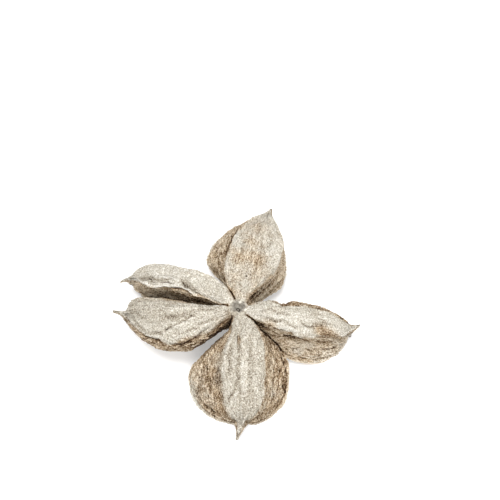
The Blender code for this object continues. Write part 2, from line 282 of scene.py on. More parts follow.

# How the sky over a point is searched for other parts of the pod, how much the floor and
# the pod count there, and how near another follicle has to be. Both are painted shade: the
# skin is drawn darker where the sky is hidden and in the slits between follicles
SKY_RAYS = 36
SKY_REACH = 0.024
SKY_ROWS = 26
SKY_COLUMNS = 31
FLOOR_SHADE = 0.45
POD_SHADE = 0.84
CROWD_REACH = 0.0017

# Camera, with the hub seen where the photograph has it, and how many degrees it looks down
CAMERA_PLACE = (HUB_X + 0.004715, HUB_Y - 0.206965, 0.458150)
CAMERA_TILT = 62
LENS = 85

# Colours as they are picked on a screen, the husk's and the scar's from fresh to old, their
# darkest also serving as painted shade, the lining's from bare felt to bloom
WARM = ["#f0e2cb", "#d9c4a6", "#b8a183", "#937a5d", "#664c31", "#33200f"]
GREYED = ["#f2eee5", "#dbd4c5", "#bcb2a0", "#968b7b", "#695948", "#2e2116"]
LIP_COLOURS = ["#e9dcc2", "#d3bd95", "#a8814d", "#6b4823"]
LINING = ["#2c221c", "#554a41", "#8d857b", "#d6d3cc"]
SCAR_COLOURS = ["#d2cdc4", "#a09a8f", "#746d62", "#332c25"]

# Places of a follicle's finishes among its materials
OUTSIDE, SPLIT_LIP, INSIDE = range(3)


def leaf(share, widest, neck, end):
    """A leaf's width along its length: 1 at its widest, 0 at both ends."""
    near = np.clip(1 - (1 - share / widest) ** 2, 0, 1) ** neck
    far = np.clip(1 - ((share - widest) / (1 - widest)) ** 2, 0, 1) ** end
    return np.where(share < widest, near, far)


def ease(low, high, value):
    """A smooth step from 0 at low to 1 at high."""
    share = np.clip((value - low) / (high - low), 0, 1)
    return share * share * (3 - 2 * share)


def spread(controls, share):
    """Points on the smooth curve through each row of controls, at these shares of it."""
    last = controls.shape[1] - 1
    before = 2 * controls[:, :1] - controls[:, 1:2]
    after = 2 * controls[:, -1:] - controls[:, -2:-1]
    padded = np.concatenate([before, controls, after], axis=1)
    place = np.clip(share, 0, 1) * last
    start = np.minimum(place.astype(int), last - 1)
    f = (place - start)[None, :, None]
    a, b, c, d = (padded[:, start + step] for step in range(4))
    return 0.5 * (2 * b + (c - a) * f + (2 * a - 5 * b + 4 * c - d) * f**2
                  + (3 * b - a - 3 * c + d) * f**3)


def half_section(side, sign, share, core, depth, sunk):
    """Control points of one half's cross-sections, from beside the keel to the rim."""
    crest = side["crest"][0] * leaf(share, *side["crest"][1:])
    rim = side["rim"][0] * leaf(share, *side["rim"][1:])
    widths = [0.33 * crest, 0.7 * crest, crest]
    widths += [crest + part * (rim - crest) for part, _ in side["flank"]]
    falls = [0.15 * side["fall"], 0.25 * side["fall"], side["fall"]]
    falls += [fall for _, fall in side["flank"]]
    open_share = np.clip(rim / side["rim"][0], 0, 1)
    controls = []
    for step, (width, fall) in enumerate(zip(widths, falls)):
        turn = np.pi / 2 * (step + 1) / len(widths)
        across = sign * np.hypot(width, core * np.sin(turn) * (1 - open_share))
        down = fall * sunk + depth * (1 - np.cos(turn)) * (1 - sunk)
        controls.append(np.stack([across, down], -1))
    return controls


def outer_skin(pod, rows_body, rows_beak, columns):
    """Grid of points on a follicle's outside: rows from hub to tip, columns from rim to rim."""
    even = np.linspace(0, 1, rows_body)
    beak = np.linspace(0, 1, rows_beak + 1)[1:]
    share = np.concatenate([(1 - np.cos(np.pi * even)) / 2, np.ones(rows_beak)])
    even = np.concatenate([even, np.ones(rows_beak)])
    beak = np.concatenate([np.zeros(rows_body), beak])
    body_core = NECK_RADIUS + (pod["beak"] - NECK_RADIUS) * share
    beak_core = TIP_RADIUS + (pod["beak"] - TIP_RADIUS) * (1 - beak) ** pod["taper"]
    core = np.where(beak > 0, beak_core, body_core)
    hub_depth = HUB_TOP - HUB_FOOT
    body_depth = hub_depth + (2 * pod["beak"] - hub_depth) * share
    depth = np.where(beak > 0, 2 * core, body_depth)
    sunk = leaf(share, 0.5, 0.65, pod["shut"])

    left = half_section(pod["left"], 1, share, core, depth, sunk)
    right = half_section(pod["right"], -1, share, core, depth, sunk)
    keel = np.stack([0 * share, pod["keel"] * sunk], -1)
    across = np.linspace(-1, 1, columns)
    section = spread(np.stack(left[::-1] + [keel] + right, axis=1), (across + 1) / 2)

    body = pod["body"]
    along_rim = NECK_START + (body - NECK_START) * share[:, None]
    along_keel = NECK_START + (body - NECK_START) * (0.4 * even + 0.6 * share)[:, None]
    x = along_keel + (along_rim - along_keel) * np.abs(across)[None, :] ** 1.5
    x = x + ((pod["length"] - body) * beak)[:, None]
    far = np.clip(x / pod["length"], 0, 1)
    lift = pod["arch"] * leaf(share, 0.5, 0.75, 0.6)
    z = HUB_TOP + (pod["tip"][1] - HUB_TOP) * far + lift[:, None] - section[..., 1]
    y = section[..., 0] + pod["bow"] * 4 * far * (1 - far) + (pod["tip"][0] * beak**1.5)[:, None]
    turn = np.radians(pod["azimuth"])
    plan_x = HUB_X + x * np.cos(turn) - y * np.sin(turn)
    plan_y = HUB_Y + x * np.sin(turn) + y * np.cos(turn)
    return np.stack([plan_x, plan_y, z], -1), share, beak


def unit(vectors):
    return vectors / np.maximum(np.linalg.norm(vectors, axis=-1, keepdims=True), 1e-12)


def facing_in(points):
    """Directions from a grid of points on an outside towards the wall's inside."""
    return unit(np.cross(np.gradient(points, axis=0), np.gradient(points, axis=1)))


def noise(seed, x, y):
    """Smooth noise from about -1 to 1 over a plane, with one feature a unit."""
    size = 64
    angles = np.random.default_rng(seed).random((size, size)) * 2 * np.pi
    left = np.floor(x).astype(int)
    low = np.floor(y).astype(int)
    fx, fy = x - left, y - low
    blend_x = fx**3 * (fx * (fx * 6 - 15) + 10)
    blend_y = fy**3 * (fy * (fy * 6 - 15) + 10)

    def corner(dx, dy):
        angle = angles[(left + dx) % size, (low + dy) % size]
        return np.cos(angle) * (fx - dx) + np.sin(angle) * (fy - dy)

    bottom = corner(0, 0) + (corner(1, 0) - corner(0, 0)) * blend_x
    top = corner(0, 1) + (corner(1, 1) - corner(0, 1)) * blend_x
    return 1.5 * (bottom + (top - bottom) * blend_y)


def ridged(seed, x, y):
    """Noise whose tops are narrow ridges, from -1 to 1."""
    return 1 - 2 * np.minimum(1, 1.8 * np.abs(noise(seed, x, y)))


def crease_depth(crease, share, arc, waver):
    """One wavering crease's depth over a follicle's outside."""
    path, width, depth = crease
    places, turns = zip(*path)
    columns = (np.interp(share, places, turns) + 1) / 2 * (arc.shape[1] - 1)
    rows = np.arange(len(share))
    left = np.minimum(columns.astype(int), arc.shape[1] - 2)
    part = columns - left
    middle = arc[rows, left] * (1 - part) + arc[rows, left + 1] * part
    length = 0.25 * (places[-1] - places[0])
    ends = ease(places[0] - 0.01, places[0] + length, share)
    ends = ends * (1 - ease(places[-1] - length, places[-1] + 0.01, share))
    away = ((arc - middle[:, None] - 0.0007 * waver) / width) ** 2
    return depth * ends[:, None] * (1 + 0.5 * waver) * (1.3 * np.exp(-away) - 0.4 * np.exp(-away / 7))


def round_spot(spot, along, arc, body):
    """One bulge or patch: its last value at its middle, fading out all round."""
    place, turn, length, width, value = spot
    row = np.argmin(np.abs(along[:, 0] - place * body))
    middle = arc[row, int((turn + 1) / 2 * (arc.shape[1] - 1))]
    away = ((along - place * body) / length) ** 2 + ((arc - middle) / width) ** 2
    return value * np.exp(-away)


def beside_rim(gap, lines):
    """Lines that run along a rim, at these distances from it."""
    return sum(strength * np.exp(-(((gap - middle) / width) ** 2)) for middle, width, strength in lines)


def outside_relief(name, seed, share, beak, arc):
    """Heights of the whole relief and of its bulges alone over a follicle's smooth outside,
    with its paleness, darker in creases, dents and rim grooves as painted shade, and its tone."""
    pod = FOLLICLES[name]
    along = (share * pod["body"] + beak * (pod["length"] - pod["body"]))[:, None] + 0 * arc
    across = np.linspace(-1, 1, arc.shape[1])[None, :] + 0 * arc
    left, right = FLANK_TONES[name]
    blotch = noise(seed, along * BLOTCH_RATE[0], arc * BLOTCH_RATE[1])
    start, full, amount = (np.where(across < 0, a, b) for a, b in zip(left, right))
    flank = ease(0, 1, (np.abs(across) + 0.05 * blotch - start) / (full - start))
    tone = amount * flank * (1 + 0.35 * blotch)
    for patch in PATCHES[name]:
        tone = tone + round_spot(patch, along, arc, pod["body"]) * (1 + 0.6 * blotch)

    bend = noise(seed + 1, along * BEND_RATE[0], arc * BEND_RATE[1])
    swell = noise(seed + 2, along * SWELL_RATE[0], arc * SWELL_RATE[1])
    folds = ridged(seed + 3, along * FOLD_RATE[0] + 0.4 * bend, across * FOLD_RATE[1] + 0.35 * bend)
    fibres = ridged(seed + 4, along * FIBRE_RATE[0] + bend, across * FIBRE_RATE[1] + 0.7 * bend)
    fine = ridged(seed + 5, along * FINE_RATE[0], across * FINE_RATE[1] + bend)
    net = ridged(seed + 6, along * NET_RATE[0] + bend, arc * NET_RATE[1])
    height = SWELL * swell + FOLDS * folds * (1 - 0.5 * flank) - SINK
    height = height + FIBRES * fibres * (0.4 + 0.6 * flank) + NET * (net + fine) * (0.5 + 0.3 * flank)
    back_pale, left_pale, right_pale = PALENESS[name]
    pale = back_pale + (np.where(across < 0, left_pale, right_pale) - back_pale) * flank
    pale = pale + 0.15 * folds + (0.12 + 0.28 * flank) * fibres
    pale = pale + (0.08 + 0.42 * flank) * fine + (0.18 + 0.20 * flank) * net
    waver = noise(seed + 11, along * WAVER_RATE[0], arc * WAVER_RATE[1])
    # Creases are drawn darker by their depth, and ridges paler: painted shade and highlight
    for crease in CREASES[name]:
        depth = crease_depth(crease, share, arc, waver)
        height = height - depth
        pale = pale - depth / 0.00030
    bulges = 0 * arc
    for place, turn, rise, length, width in BULGES[name]:
        bulges = bulges + round_spot((place, turn, length, width, rise), along, arc, pod["body"])
    height = height + bulges
    # Dents drawn darker: painted shade
    pale = pale + np.clip(bulges / 0.0010, -0.8, 0)

    gap = np.minimum(arc - arc[:, :1], arc[:, -1:] - arc)
    gap = gap + 0.0004 * noise(seed + 7, along * 260, arc * 90)
    groove, edges = beside_rim(gap, GROOVES), beside_rim(gap, BANDS)
    past_neck = ease(0.06, 0.20, share)[:, None]
    groove = groove * (0.7 + 0.6 * noise(seed + 12, along * 210, arc * 40)) * past_neck
    edges = edges * past_neck
    height = height - RIM_GROOVE * (groove - 0.5 * edges)
    # Rim grooves drawn darker as painted shade, raised bands beside the rims paler
    pale = pale - 1.1 * groove + 1.4 * edges
    tone = tone * (1 - 0.6 * np.exp(-((gap / 0.0009) ** 2)))
    return height, bulges, np.clip(pale, -3, 2.5), np.clip(tone, 0, 1)


def sky_directions():
    """Directions spread over the half of space round +Z, closer together near +Z."""
    turn = np.arange(SKY_RAYS) * np.pi * (3 - 5**0.5)
    level = np.sqrt((np.arange(SKY_RAYS) + 0.5) / SKY_RAYS)
    return np.stack([level * np.cos(turn), level * np.sin(turn), np.sqrt(1 - level**2)], -1)


def painted_shade(pod_tree, points, outward):
    """How much of the sky over each point the pod and the floor hide, over a coarse grid:
    the amount of shade painted there.
    """
    rows = np.linspace(0, len(points) - 1, SKY_ROWS).round().astype(int)
    columns = np.linspace(0, points.shape[1] - 1, SKY_COLUMNS).round().astype(int)
    rays = sky_directions()
    hidden = np.zeros((SKY_ROWS, SKY_COLUMNS))
    for i, row in enumerate(rows):
        for j, column in enumerate(columns):
            up = Vector(outward[row, column])
            turn = np.array(up.to_track_quat("Z", "Y").to_matrix())
            start = Vector(points[row, column]) + up * 0.0007
            for ray in rays @ turn.T:
                if pod_tree.ray_cast(start, Vector(ray), SKY_REACH)[0]:
                    hidden[i, j] += 1 / SKY_RAYS
                elif ray[2] < -0.1:
                    hidden[i, j] += FLOOR_SHADE / SKY_RAYS
    place = np.linspace(0, SKY_ROWS - 1, len(points))
    hidden = np.stack([np.interp(place, range(SKY_ROWS), line) for line in hidden.T], axis=1)
    place = np.linspace(0, SKY_COLUMNS - 1, points.shape[1])
    return np.stack([np.interp(place, range(SKY_COLUMNS), line) for line in hidden])


def crowding(others, points):
    """How close each point is to another follicle, past the place where the necks join, for
    the shade painted into the slits between follicles.
    """
    near = np.zeros(points.shape[:2])
    for i, row in enumerate(points):
        for j, point in enumerate(row):
            gap = others.find_nearest(Vector(point), CROWD_REACH)[3]
            if gap is not None:
                near[i, j] = 1 - gap / CROWD_REACH
    from_hub = np.hypot(points[..., 0] - HUB_X, points[..., 1] - HUB_Y)
    return ease(0.1, 0.9, near) * ease(0.0030, 0.0048, from_hub)


def coarse_skins(names):
    """The outsides of these follicles as one coarse sheet, to search for what is near."""
    corners, faces = [], []
    for name in names:
        points = outer_skin(FOLLICLES[name], 60, 6, 61)[0]
        rows, columns = points.shape[:2]
        index = np.arange(rows * columns).reshape(rows, columns) + len(corners)
        quads = [index[:-1, :-1], index[:-1, 1:], index[1:, 1:], index[1:, :-1]]
        faces += np.stack(quads, -1).reshape(-1, 4).tolist()
        corners += points.reshape(-1, 3).tolist()
    return BVHTree.FromPolygons(corners, faces)


def lip(edge, inner, outward, wall):
    """The rounded strip of wall between the outside's last points and the inside's."""
    strip = []
    for turn in np.linspace(0, np.pi, LIP_COLUMNS + 2)[1:-1]:
        bulge = LIP_ROUND * np.sin(turn) * (wall / WALL) * outward
        strip.append(edge + (inner - edge) * (1 - np.cos(turn)) / 2 + bulge)
    return np.stack(strip, axis=1)


def follicle_wall(name, seed, pod_tree, others):
    """Rows of points round a follicle's wall, what its finish reads, and each face's finish."""
    pod = FOLLICLES[name]
    outside, share, beak = outer_skin(pod, ROWS_BODY, ROWS_BEAK, OUTSIDE_COLUMNS)
    inward = facing_in(outside)
    steps = np.linalg.norm(np.diff(outside, axis=1), axis=-1)
    arc = np.concatenate([np.zeros((len(steps), 1)), np.cumsum(steps, axis=1)], axis=1)
    arc = arc - arc[:, OUTSIDE_COLUMNS // 2][:, None]
    height, bulges, pale, tone = outside_relief(name, seed, share, beak, arc)
    settle = (ease(0.0, 0.10, share) * (1 - 0.8 * ease(0, 0.5, beak)))[:, None]
    shaped = outside - inward * (height * settle)[..., None]

    gape = np.linalg.norm(outside[:, -1] - outside[:, 0], axis=-1)
    wall = np.minimum(WALL, 0.3 * gape)[:, None]
    hollow = ease(HOLLOW_FROM, HOLLOW_FULL, share) * (1 - ease(HOLLOW_END_FULL, HOLLOW_END, share))
    inside = outside + (wall - bulges * settle)[..., None] * inward
    part = np.linspace(0, 1, OUTSIDE_COLUMNS)[None, :, None]
    closed = inside[:, :1] + (inside[:, -1:] - inside[:, :1]) * part
    inside = closed + (inside - closed) * hollow[:, None, None]
    along = (share * pod["body"] + beak * (pod["length"] - pod["body"]))[:, None] + 0 * arc
    lining = (ridged(seed + 8, along * 420, arc * 380) + noise(seed + 9, along * 120, arc * 900)) / 2
    away = np.minimum(arc - arc[:, :1], arc[:, -1:] - arc)
    depth = INSIDE_RELIEF * lining * hollow[:, None] * settle * ease(0, 0.002, away)
    inside = inside + inward * depth[..., None]

    every = np.linspace(OUTSIDE_COLUMNS - 1, 0, INSIDE_COLUMNS).round().astype(int)
    # Painted shade: the larger of the hidden sky and the closeness of another follicle
    sky = np.maximum(POD_SHADE * painted_shade(pod_tree, outside, -inward), crowding(others, shaped))
    sky_inside = painted_shade(pod_tree, inside, inward)
    flat = np.zeros((len(share), LIP_COLUMNS))
    first = lip(shaped[:, -1], inside[:, -1], unit(outside[:, -1] - outside[:, -4]), wall)
    second = lip(inside[:, 0], shaped[:, 0], unit(outside[:, 0] - outside[:, 3]), wall)
    lip_pale = 0.4 * noise(seed + 10, along[:, :LIP_COLUMNS] * 300, 3 + flat)
    parts = {
        "points": [shaped, first, inside[:, every], second, shaped[:, :1]],
        "pale": [pale, lip_pale, lining[:, every], lip_pale, pale[:, :1]],
        "tone": [tone, flat + 0.3, tone[:, every], flat + 0.3, tone[:, :1]],
        "painted_shade": [sky, flat + sky[:, -1:], sky_inside[:, every], flat + sky[:, :1], sky[:, :1]],
        "arc": [arc, flat + arc[:, -1:], arc[:, every], flat + arc[:, :1], arc[:, :1]],
        "along": [along, along[:, :LIP_COLUMNS], along[:, every], along[:, :LIP_COLUMNS], along[:, :1]],
    }
    wholes = {key: np.concatenate(value, axis=1) for key, value in parts.items()}
    points = wholes.pop("points")
    points[..., 2] = np.maximum(points[..., 2], 0)
    finishes = [OUTSIDE] * (OUTSIDE_COLUMNS - 1) + [SPLIT_LIP] * (LIP_COLUMNS + 1)
    finishes += [INSIDE] * (INSIDE_COLUMNS - 1) + [SPLIT_LIP] * (LIP_COLUMNS + 1)
    return points, wholes, np.outer(hollow[1:] > 0.01, finishes)


def close_ends(points, values, finishes):
    """The rows with each end rounded in to a point, and the end rows' looks carried over."""
    def cap(row, outward):
        centre = row[:-1].mean(axis=0)
        reach = np.linalg.norm(row - centre, axis=-1).min() * 0.8
        rows = []
        for turn in np.linspace(0, np.pi / 2, CAP_ROWS + 1)[1:]:
            closeness = max(np.cos(turn), 0) if turn < np.pi / 2 else 0
            rows.append(centre + (row - centre) * closeness + outward * reach * np.sin(turn))
        return np.stack(rows)

    first = cap(points[0], unit(points[0].mean(0) - points[3].mean(0)))
    last = cap(points[-1], unit(points[-1].mean(0) - points[-4].mean(0)))
    points = np.concatenate([first[::-1], points, last])
    spare = ((CAP_ROWS, CAP_ROWS), (0, 0))
    padded = {key: np.pad(value, spare, mode="edge") for key, value in values.items()}
    return points, padded, np.pad(finishes, spare, mode="edge")


def sheet_object(name, points, values, finishes):
    """A grid primitive whose points are moved to these rows, with its seam and ends merged."""
    rows, columns = points.shape[:2]
    bpy.ops.object.select_all(action="DESELECT")
    bpy.ops.mesh.primitive_grid_add(x_subdivisions=columns - 1, y_subdivisions=rows - 1, size=2)
    piece = bpy.context.object
    mesh = piece.data
    piece.name = mesh.name = name
    mesh.uv_layers[0].name = "OFBake"
    mesh.vertices.foreach_set("co", points.reshape(-1))
    corner_points = np.empty(len(mesh.loops), dtype=int)
    mesh.loops.foreach_get("vertex_index", corner_points)
    skin = np.stack([values["arc"].reshape(-1), values["along"].reshape(-1)], -1)[corner_points]
    mesh.uv_layers.new(name="skin").uv.foreach_set("vector", skin.astype(np.float32).reshape(-1))
    # pale holds some painted shade and highlight, and the last attribute holds painted shade
    for key in ("pale", "tone", "painted_shade"):
        layer = mesh.attributes.new(key, "FLOAT", "POINT")
        layer.data.foreach_set("value", values[key].astype(np.float32).reshape(-1))
    mesh.polygons.foreach_set("material_index", finishes.reshape(-1))
    bpy.ops.object.mode_set(mode="EDIT")
    bpy.ops.mesh.select_all(action="SELECT")
    bpy.ops.mesh.remove_doubles(threshold=1e-7)
    bpy.ops.object.mode_set(mode="OBJECT")
    mesh.shade_smooth()
    return piece


def husk_piece(piece, materials):
    for material in materials:
        piece.data.materials.append(material)
    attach(piece, "root")
    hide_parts("pod")


def make_follicles(materials):
    pod_tree = coarse_skins(FOLLICLES)
    for order, name in enumerate(FOLLICLES):
        others = coarse_skins([other for other in FOLLICLES if other != name])
        points, values, finishes = follicle_wall(name, 20 * order + 1, pod_tree, others)
        husk_piece(sheet_object("follicle_" + name, *close_ends(points, values, finishes)), materials)


def make_hub(materials):
    """The block that the necks grow from, with the broken ring of the stalk scar on top."""
    profile = np.array([
        (0.0001, HUB_FOOT + 0.0010), (HUB_RADIUS - 0.0016, HUB_FOOT + 0.0006),
        (HUB_RADIUS, HUB_FOOT + 0.0022), (HUB_RADIUS, HUB_TOP - 0.0020),
        (HUB_RADIUS - 0.0006, HUB_TOP - 0.0004), (SCAR_RADIUS + 0.0007, HUB_TOP + SCAR_RISE),
        (SCAR_RADIUS, HUB_TOP + SCAR_RISE + 0.0003), (SCAR_RADIUS - 0.0006, HUB_TOP + SCAR_RISE),
        (SCAR_RADIUS - 0.0012, HUB_TOP), (0.0007, HUB_TOP + 0.0001), (0.0001, HUB_TOP + 0.0001)])
    steps = np.concatenate([[0], np.cumsum(np.linalg.norm(np.diff(profile, axis=0), axis=1))])
    place = np.linspace(0, steps[-1], HUB_ROWS)
    radius, z = (np.interp(place, steps, profile[:, axis])[:, None] for axis in (0, 1))
    turn = np.linspace(0, 2 * np.pi, HUB_COLUMNS)[None, :]
    turn[0, -1] = 0
    top = ease(HUB_TOP - 0.0020, HUB_TOP, z)
    round_x, round_y = np.cos(turn) * radius, np.sin(turn) * radius
    torn = noise(301, round_x * 900 + 9, round_y * 900 + 9)
    grain = ridged(302, round_x * 2200 + 30, round_y * 2200 + 30 + 90 * z)
    lobes = noise(303, 9 + 1.6 * np.cos(turn), 9 + 1.6 * np.sin(turn))
    radius = radius * (1 + 0.16 * lobes * top) + 0.00012 * torn
    # The first of these is a painted glint, raised and pale like the chip beside it
    chips_and_glint = sum(ease(size, 0, np.hypot(round_x - x, round_y - y)) for x, y, size in SCAR_CHIPS_AND_GLINT)
    from_pit = np.hypot(round_x - SCAR_PIT[0], round_y - SCAR_PIT[1])
    ring = np.exp(-(((from_pit - SCAR_PIT[2]) / 0.00025) ** 2))
    z = z + top * (0.00040 * torn + 0.00018 * grain + 0.00050 * chips_and_glint - 0.00040 * ring)
    greyed = ease(0.0040, 0.0022, np.hypot(round_x, round_y) + 0.0008 * torn)
    points = np.stack([HUB_X + radius * np.cos(turn), HUB_Y + radius * np.sin(turn), z + 0 * turn], -1)
    flat = np.zeros(points.shape[:2])
    values = {
        "pale": np.clip(0.4 * torn + 0.4 * grain + 1.6 * chips_and_glint - 2.6 * ring, -3, 1.5) + flat,
        "tone": greyed * (1 - chips_and_glint) + flat,
        # Painted shade down the hub's sides, below its top, where the necks hide it
        "painted_shade": (0.75 * (1 - top)) + flat,
        "arc": turn * radius, "along": place[:, None] + flat,
    }
    one_finish = np.zeros((HUB_ROWS - 1, HUB_COLUMNS - 1), dtype=int)
    husk_piece(sheet_object("hub", points, values, one_finish), materials)


def screen_colour(code):
    """Scene-linear colour from a #rrggbb code."""
    parts = [int(code[start : start + 2], 16) / 255 for start in (1, 3, 5)]
    return [part / 12.92 if part < 0.04045 else ((part + 0.055) / 1.055) ** 2.4 for part in parts] + [1]


def add(tree, kind, inputs=None, **settings):
    """A new node with its settings, and its inputs set to numbers or linked to sockets."""
    node = tree.nodes.new(kind)
    for key, value in settings.items():
        setattr(node, key, value)
    for key, value in (inputs or {}).items():
        if isinstance(value, bpy.types.NodeSocket):
            tree.links.new(value, node.inputs[key])
        else:
            node.inputs[key].default_value = value
    return node


def maths(tree, operation, first, second=0.0):
    return add(tree, "ShaderNodeMath", {0: first, 1: second}, operation=operation).outputs[0]


def step_up(tree, value, low, high):
    """A smooth step from 0 at low to 1 at high."""
    inputs = {"Value": value, "From Min": low, "From Max": high}
    return add(tree, "ShaderNodeMapRange", inputs, interpolation_type="SMOOTHSTEP").outputs[0]


def blend(tree, amount, first, second):
    return add(tree, "ShaderNodeMix", {0: amount, 6: first, 7: second}, data_type="RGBA").outputs[2]


def colour_ramp(tree, value, colours):
    """Colours in even steps from value 0 to value 1."""
    node = add(tree, "ShaderNodeValToRGB", {0: value})
    stops = node.color_ramp.elements
    for extra in range(len(colours) - 2):
        stops.new((extra + 1) / (len(colours) - 1))
    for place, (stop, colour) in enumerate(zip(stops, colours)):
        stop.position = place / (len(colours) - 1)
        stop.color = screen_colour(colour)
    return node.outputs[0]


def cloud(tree, vector, scale, detail=2.0, roughness=0.5, waves=0.0):
    inputs = {"Vector": vector, "Scale": scale, "Detail": detail, "Roughness": roughness,
              "Distortion": waves}
    return add(tree, "ShaderNodeTexNoise", inputs).outputs["Fac"]


def attribute(tree, name):
    return add(tree, "ShaderNodeAttribute", attribute_name=name).outputs["Fac"]


def new_group(name, inputs, outputs):
    """An empty node group with these sockets, and its input and output nodes."""
    tree = bpy.data.node_groups.new(name, "ShaderNodeTree")
    for key, (kind, value) in inputs.items():
        socket = tree.interface.new_socket(key, in_out="INPUT", socket_type=kind)
        if value is not None:
            socket.default_value = value
    for key in outputs:
        tree.interface.new_socket(key, in_out="OUTPUT", socket_type="NodeSocketFloat")
    return tree, tree.nodes.new("NodeGroupInput").outputs, tree.nodes.new("NodeGroupOutput").inputs


def husk_grain_group():
    """Grain, wrinkles, pores and blotches of dry husk, each from 0 to 1, on Object coordinates."""
    inputs = {"Place": ("NodeSocketVector", None), "Grain Size": ("NodeSocketFloat", 0.0004),
              "Blotch Size": ("NodeSocketFloat", 0.006)}
    outputs = ("Grain", "Wrinkles", "Pores", "Blotches")
    tree, given, made = new_group("husk_grain", inputs, outputs)
    turned = {"Vector": given["Place"], "Rotation": (0.6, 0.4, 0.9)}
    place = add(tree, "ShaderNodeVectorRotate", turned, rotation_type="EULER_XYZ").outputs[0]
    fine = maths(tree, "DIVIDE", 1.0, given["Grain Size"])
    coarse = maths(tree, "DIVIDE", 1.0, given["Blotch Size"])
    grain = cloud(tree, place, fine, 3.0, 0.7)
    tree.links.new(step_up(tree, grain, 0.38, 0.62), made["Grain"])
    bends = cloud(tree, place, maths(tree, "MULTIPLY", fine, 0.9), 2.0, 0.6)
    off_line = maths(tree, "ABSOLUTE", maths(tree, "SUBTRACT", bends, 0.5))
    tree.links.new(step_up(tree, off_line, 0.07, 0.0), made["Wrinkles"])
    pores = cloud(tree, place, maths(tree, "MULTIPLY", fine, 0.8), 1.0, 0.5)
    tree.links.new(step_up(tree, pores, 0.62, 0.72), made["Pores"])
    blotches = cloud(tree, place, coarse, 4.0, 0.6)
    tree.links.new(step_up(tree, blotches, 0.30, 0.70), made["Blotches"])
    return tree


def husk_fibre_group():
    """Long fibres that follow the skin from neck to beak, from 0 to 1, on the skin's own map."""
    inputs = {"Skin": ("NodeSocketVector", None), "Width": ("NodeSocketFloat", 0.0005),
              "Stretch": ("NodeSocketFloat", 9.0)}
    tree, given, made = new_group("husk_fibres", inputs, ("Fibres",))
    across = maths(tree, "DIVIDE", 1.0, given["Width"])
    along = maths(tree, "DIVIDE", across, given["Stretch"])
    scale = add(tree, "ShaderNodeCombineXYZ", {"X": across, "Y": along, "Z": 1.0}).outputs[0]
    stretched = add(tree, "ShaderNodeVectorMath", {0: given["Skin"], 1: scale}, operation="MULTIPLY")
    strands = cloud(tree, stretched.outputs[0], 1.0, 3.0, 0.6, 0.9)
    tree.links.new(step_up(tree, strands, 0.32, 0.68), made["Fibres"])
    return tree


def new_material(name):
    """A material with its tree, shader, place on the object and place on the skin's map."""
    material = bpy.data.materials.new(name)
    material.use_nodes = True
    tree = material.node_tree
    shader = tree.nodes["Principled BSDF"]
    place = add(tree, "ShaderNodeTexCoord").outputs["Object"]
    skin = add(tree, "ShaderNodeUVMap", uv_map="skin").outputs[0]
    return material, tree, shader, place, skin


def placed_group(tree, group, inputs):
    return add(tree, "ShaderNodeGroup", inputs, node_tree=group).outputs


def weighted(tree, base, *terms):
    """A base number plus each value times its weight."""
    total = base
    for value, weight in terms:
        total = maths(tree, "ADD", total, maths(tree, "MULTIPLY", value, weight))
    return total


def finish_surface(tree, shader, colour, height, bump_depth, roughness):
    bump = add(tree, "ShaderNodeBump", {"Height": height, "Distance": bump_depth, "Strength": 1.0})
    tree.links.new(colour, shader.inputs["Base Color"])
    tree.links.new(roughness, shader.inputs["Roughness"])
    tree.links.new(bump.outputs[0], shader.inputs["Normal"])
    shader.inputs["Specular IOR Level"].default_value = 0.25


def husk_outside(grain_group, fibre_group):
    """Weathered outside: cream on the back, brown and striped down the flanks, with painted
    shade in creases, dents, rim grooves and where the sky is hidden, and painted highlight
    on ridges and rims.
    """
    material, tree, shader, place, skin = new_material("husk_outside")
    spots = placed_group(tree, grain_group, {"Place": place, "Grain Size": 0.00056, "Blotch Size": 0.007})
    lines = placed_group(tree, fibre_group, {"Skin": skin, "Width": 0.00062, "Stretch": 6.0})
    pale, tone, shade_amount = (attribute(tree, name) for name in ("pale", "tone", "painted_shade"))
    # Painted shade and highlight: low pale (the husk's weathering, and painted shade in creases, dents and
    # rim grooves) darkens the colour, the tops of ridges and rims lighten it, and the hidden sky darkens it
    sunk = maths(tree, "MULTIPLY", pale, -1.0)
    valley = step_up(tree, sunk, -0.7, 0.9)
    deep_crease_shade = step_up(tree, sunk, 0.8, 2.6)
    ridge_highlight = step_up(tree, pale, 0.6, 2.2)
    soft_shade = step_up(tree, shade_amount, 0.35, 0.95)
    gap_shade = step_up(tree, shade_amount, 0.68, 0.96)
    brown_valley, brown_fibres, brown_grain = (
        maths(tree, "MULTIPLY", value, tone) for value in (valley, lines["Fibres"], spots["Grain"]))
    darkness = weighted(
        tree, -0.16, (tone, -0.19), (valley, 0.24), (brown_valley, 0.18), (deep_crease_shade, 0.40),
        (ridge_highlight, -0.22), (spots["Grain"], 0.44), (spots["Wrinkles"], 0.20), (spots["Pores"], 0.10),
        (spots["Blotches"], 0.07), (lines["Fibres"], 0.10), (brown_fibres, 0.84), (brown_grain, 0.16),
        (soft_shade, 0.20), (gap_shade, 0.55))
    # Browner where the sky is hidden: painted shade
    brown = weighted(tree, 0.0, (tone, 1.0), (shade_amount, 0.7), (spots["Blotches"], 0.25))
    greyed, warm = colour_ramp(tree, darkness, GREYED), colour_ramp(tree, darkness, WARM)
    colour = blend(tree, step_up(tree, brown, 0.14, 0.8), greyed, warm)
    height = weighted(tree, 0.0, (spots["Grain"], -0.5), (spots["Wrinkles"], -0.6), (lines["Fibres"], -0.4))
    roughness = weighted(tree, 0.78, (spots["Grain"], 0.16))
    finish_surface(tree, shader, colour, height, 0.00035, roughness)
    return material


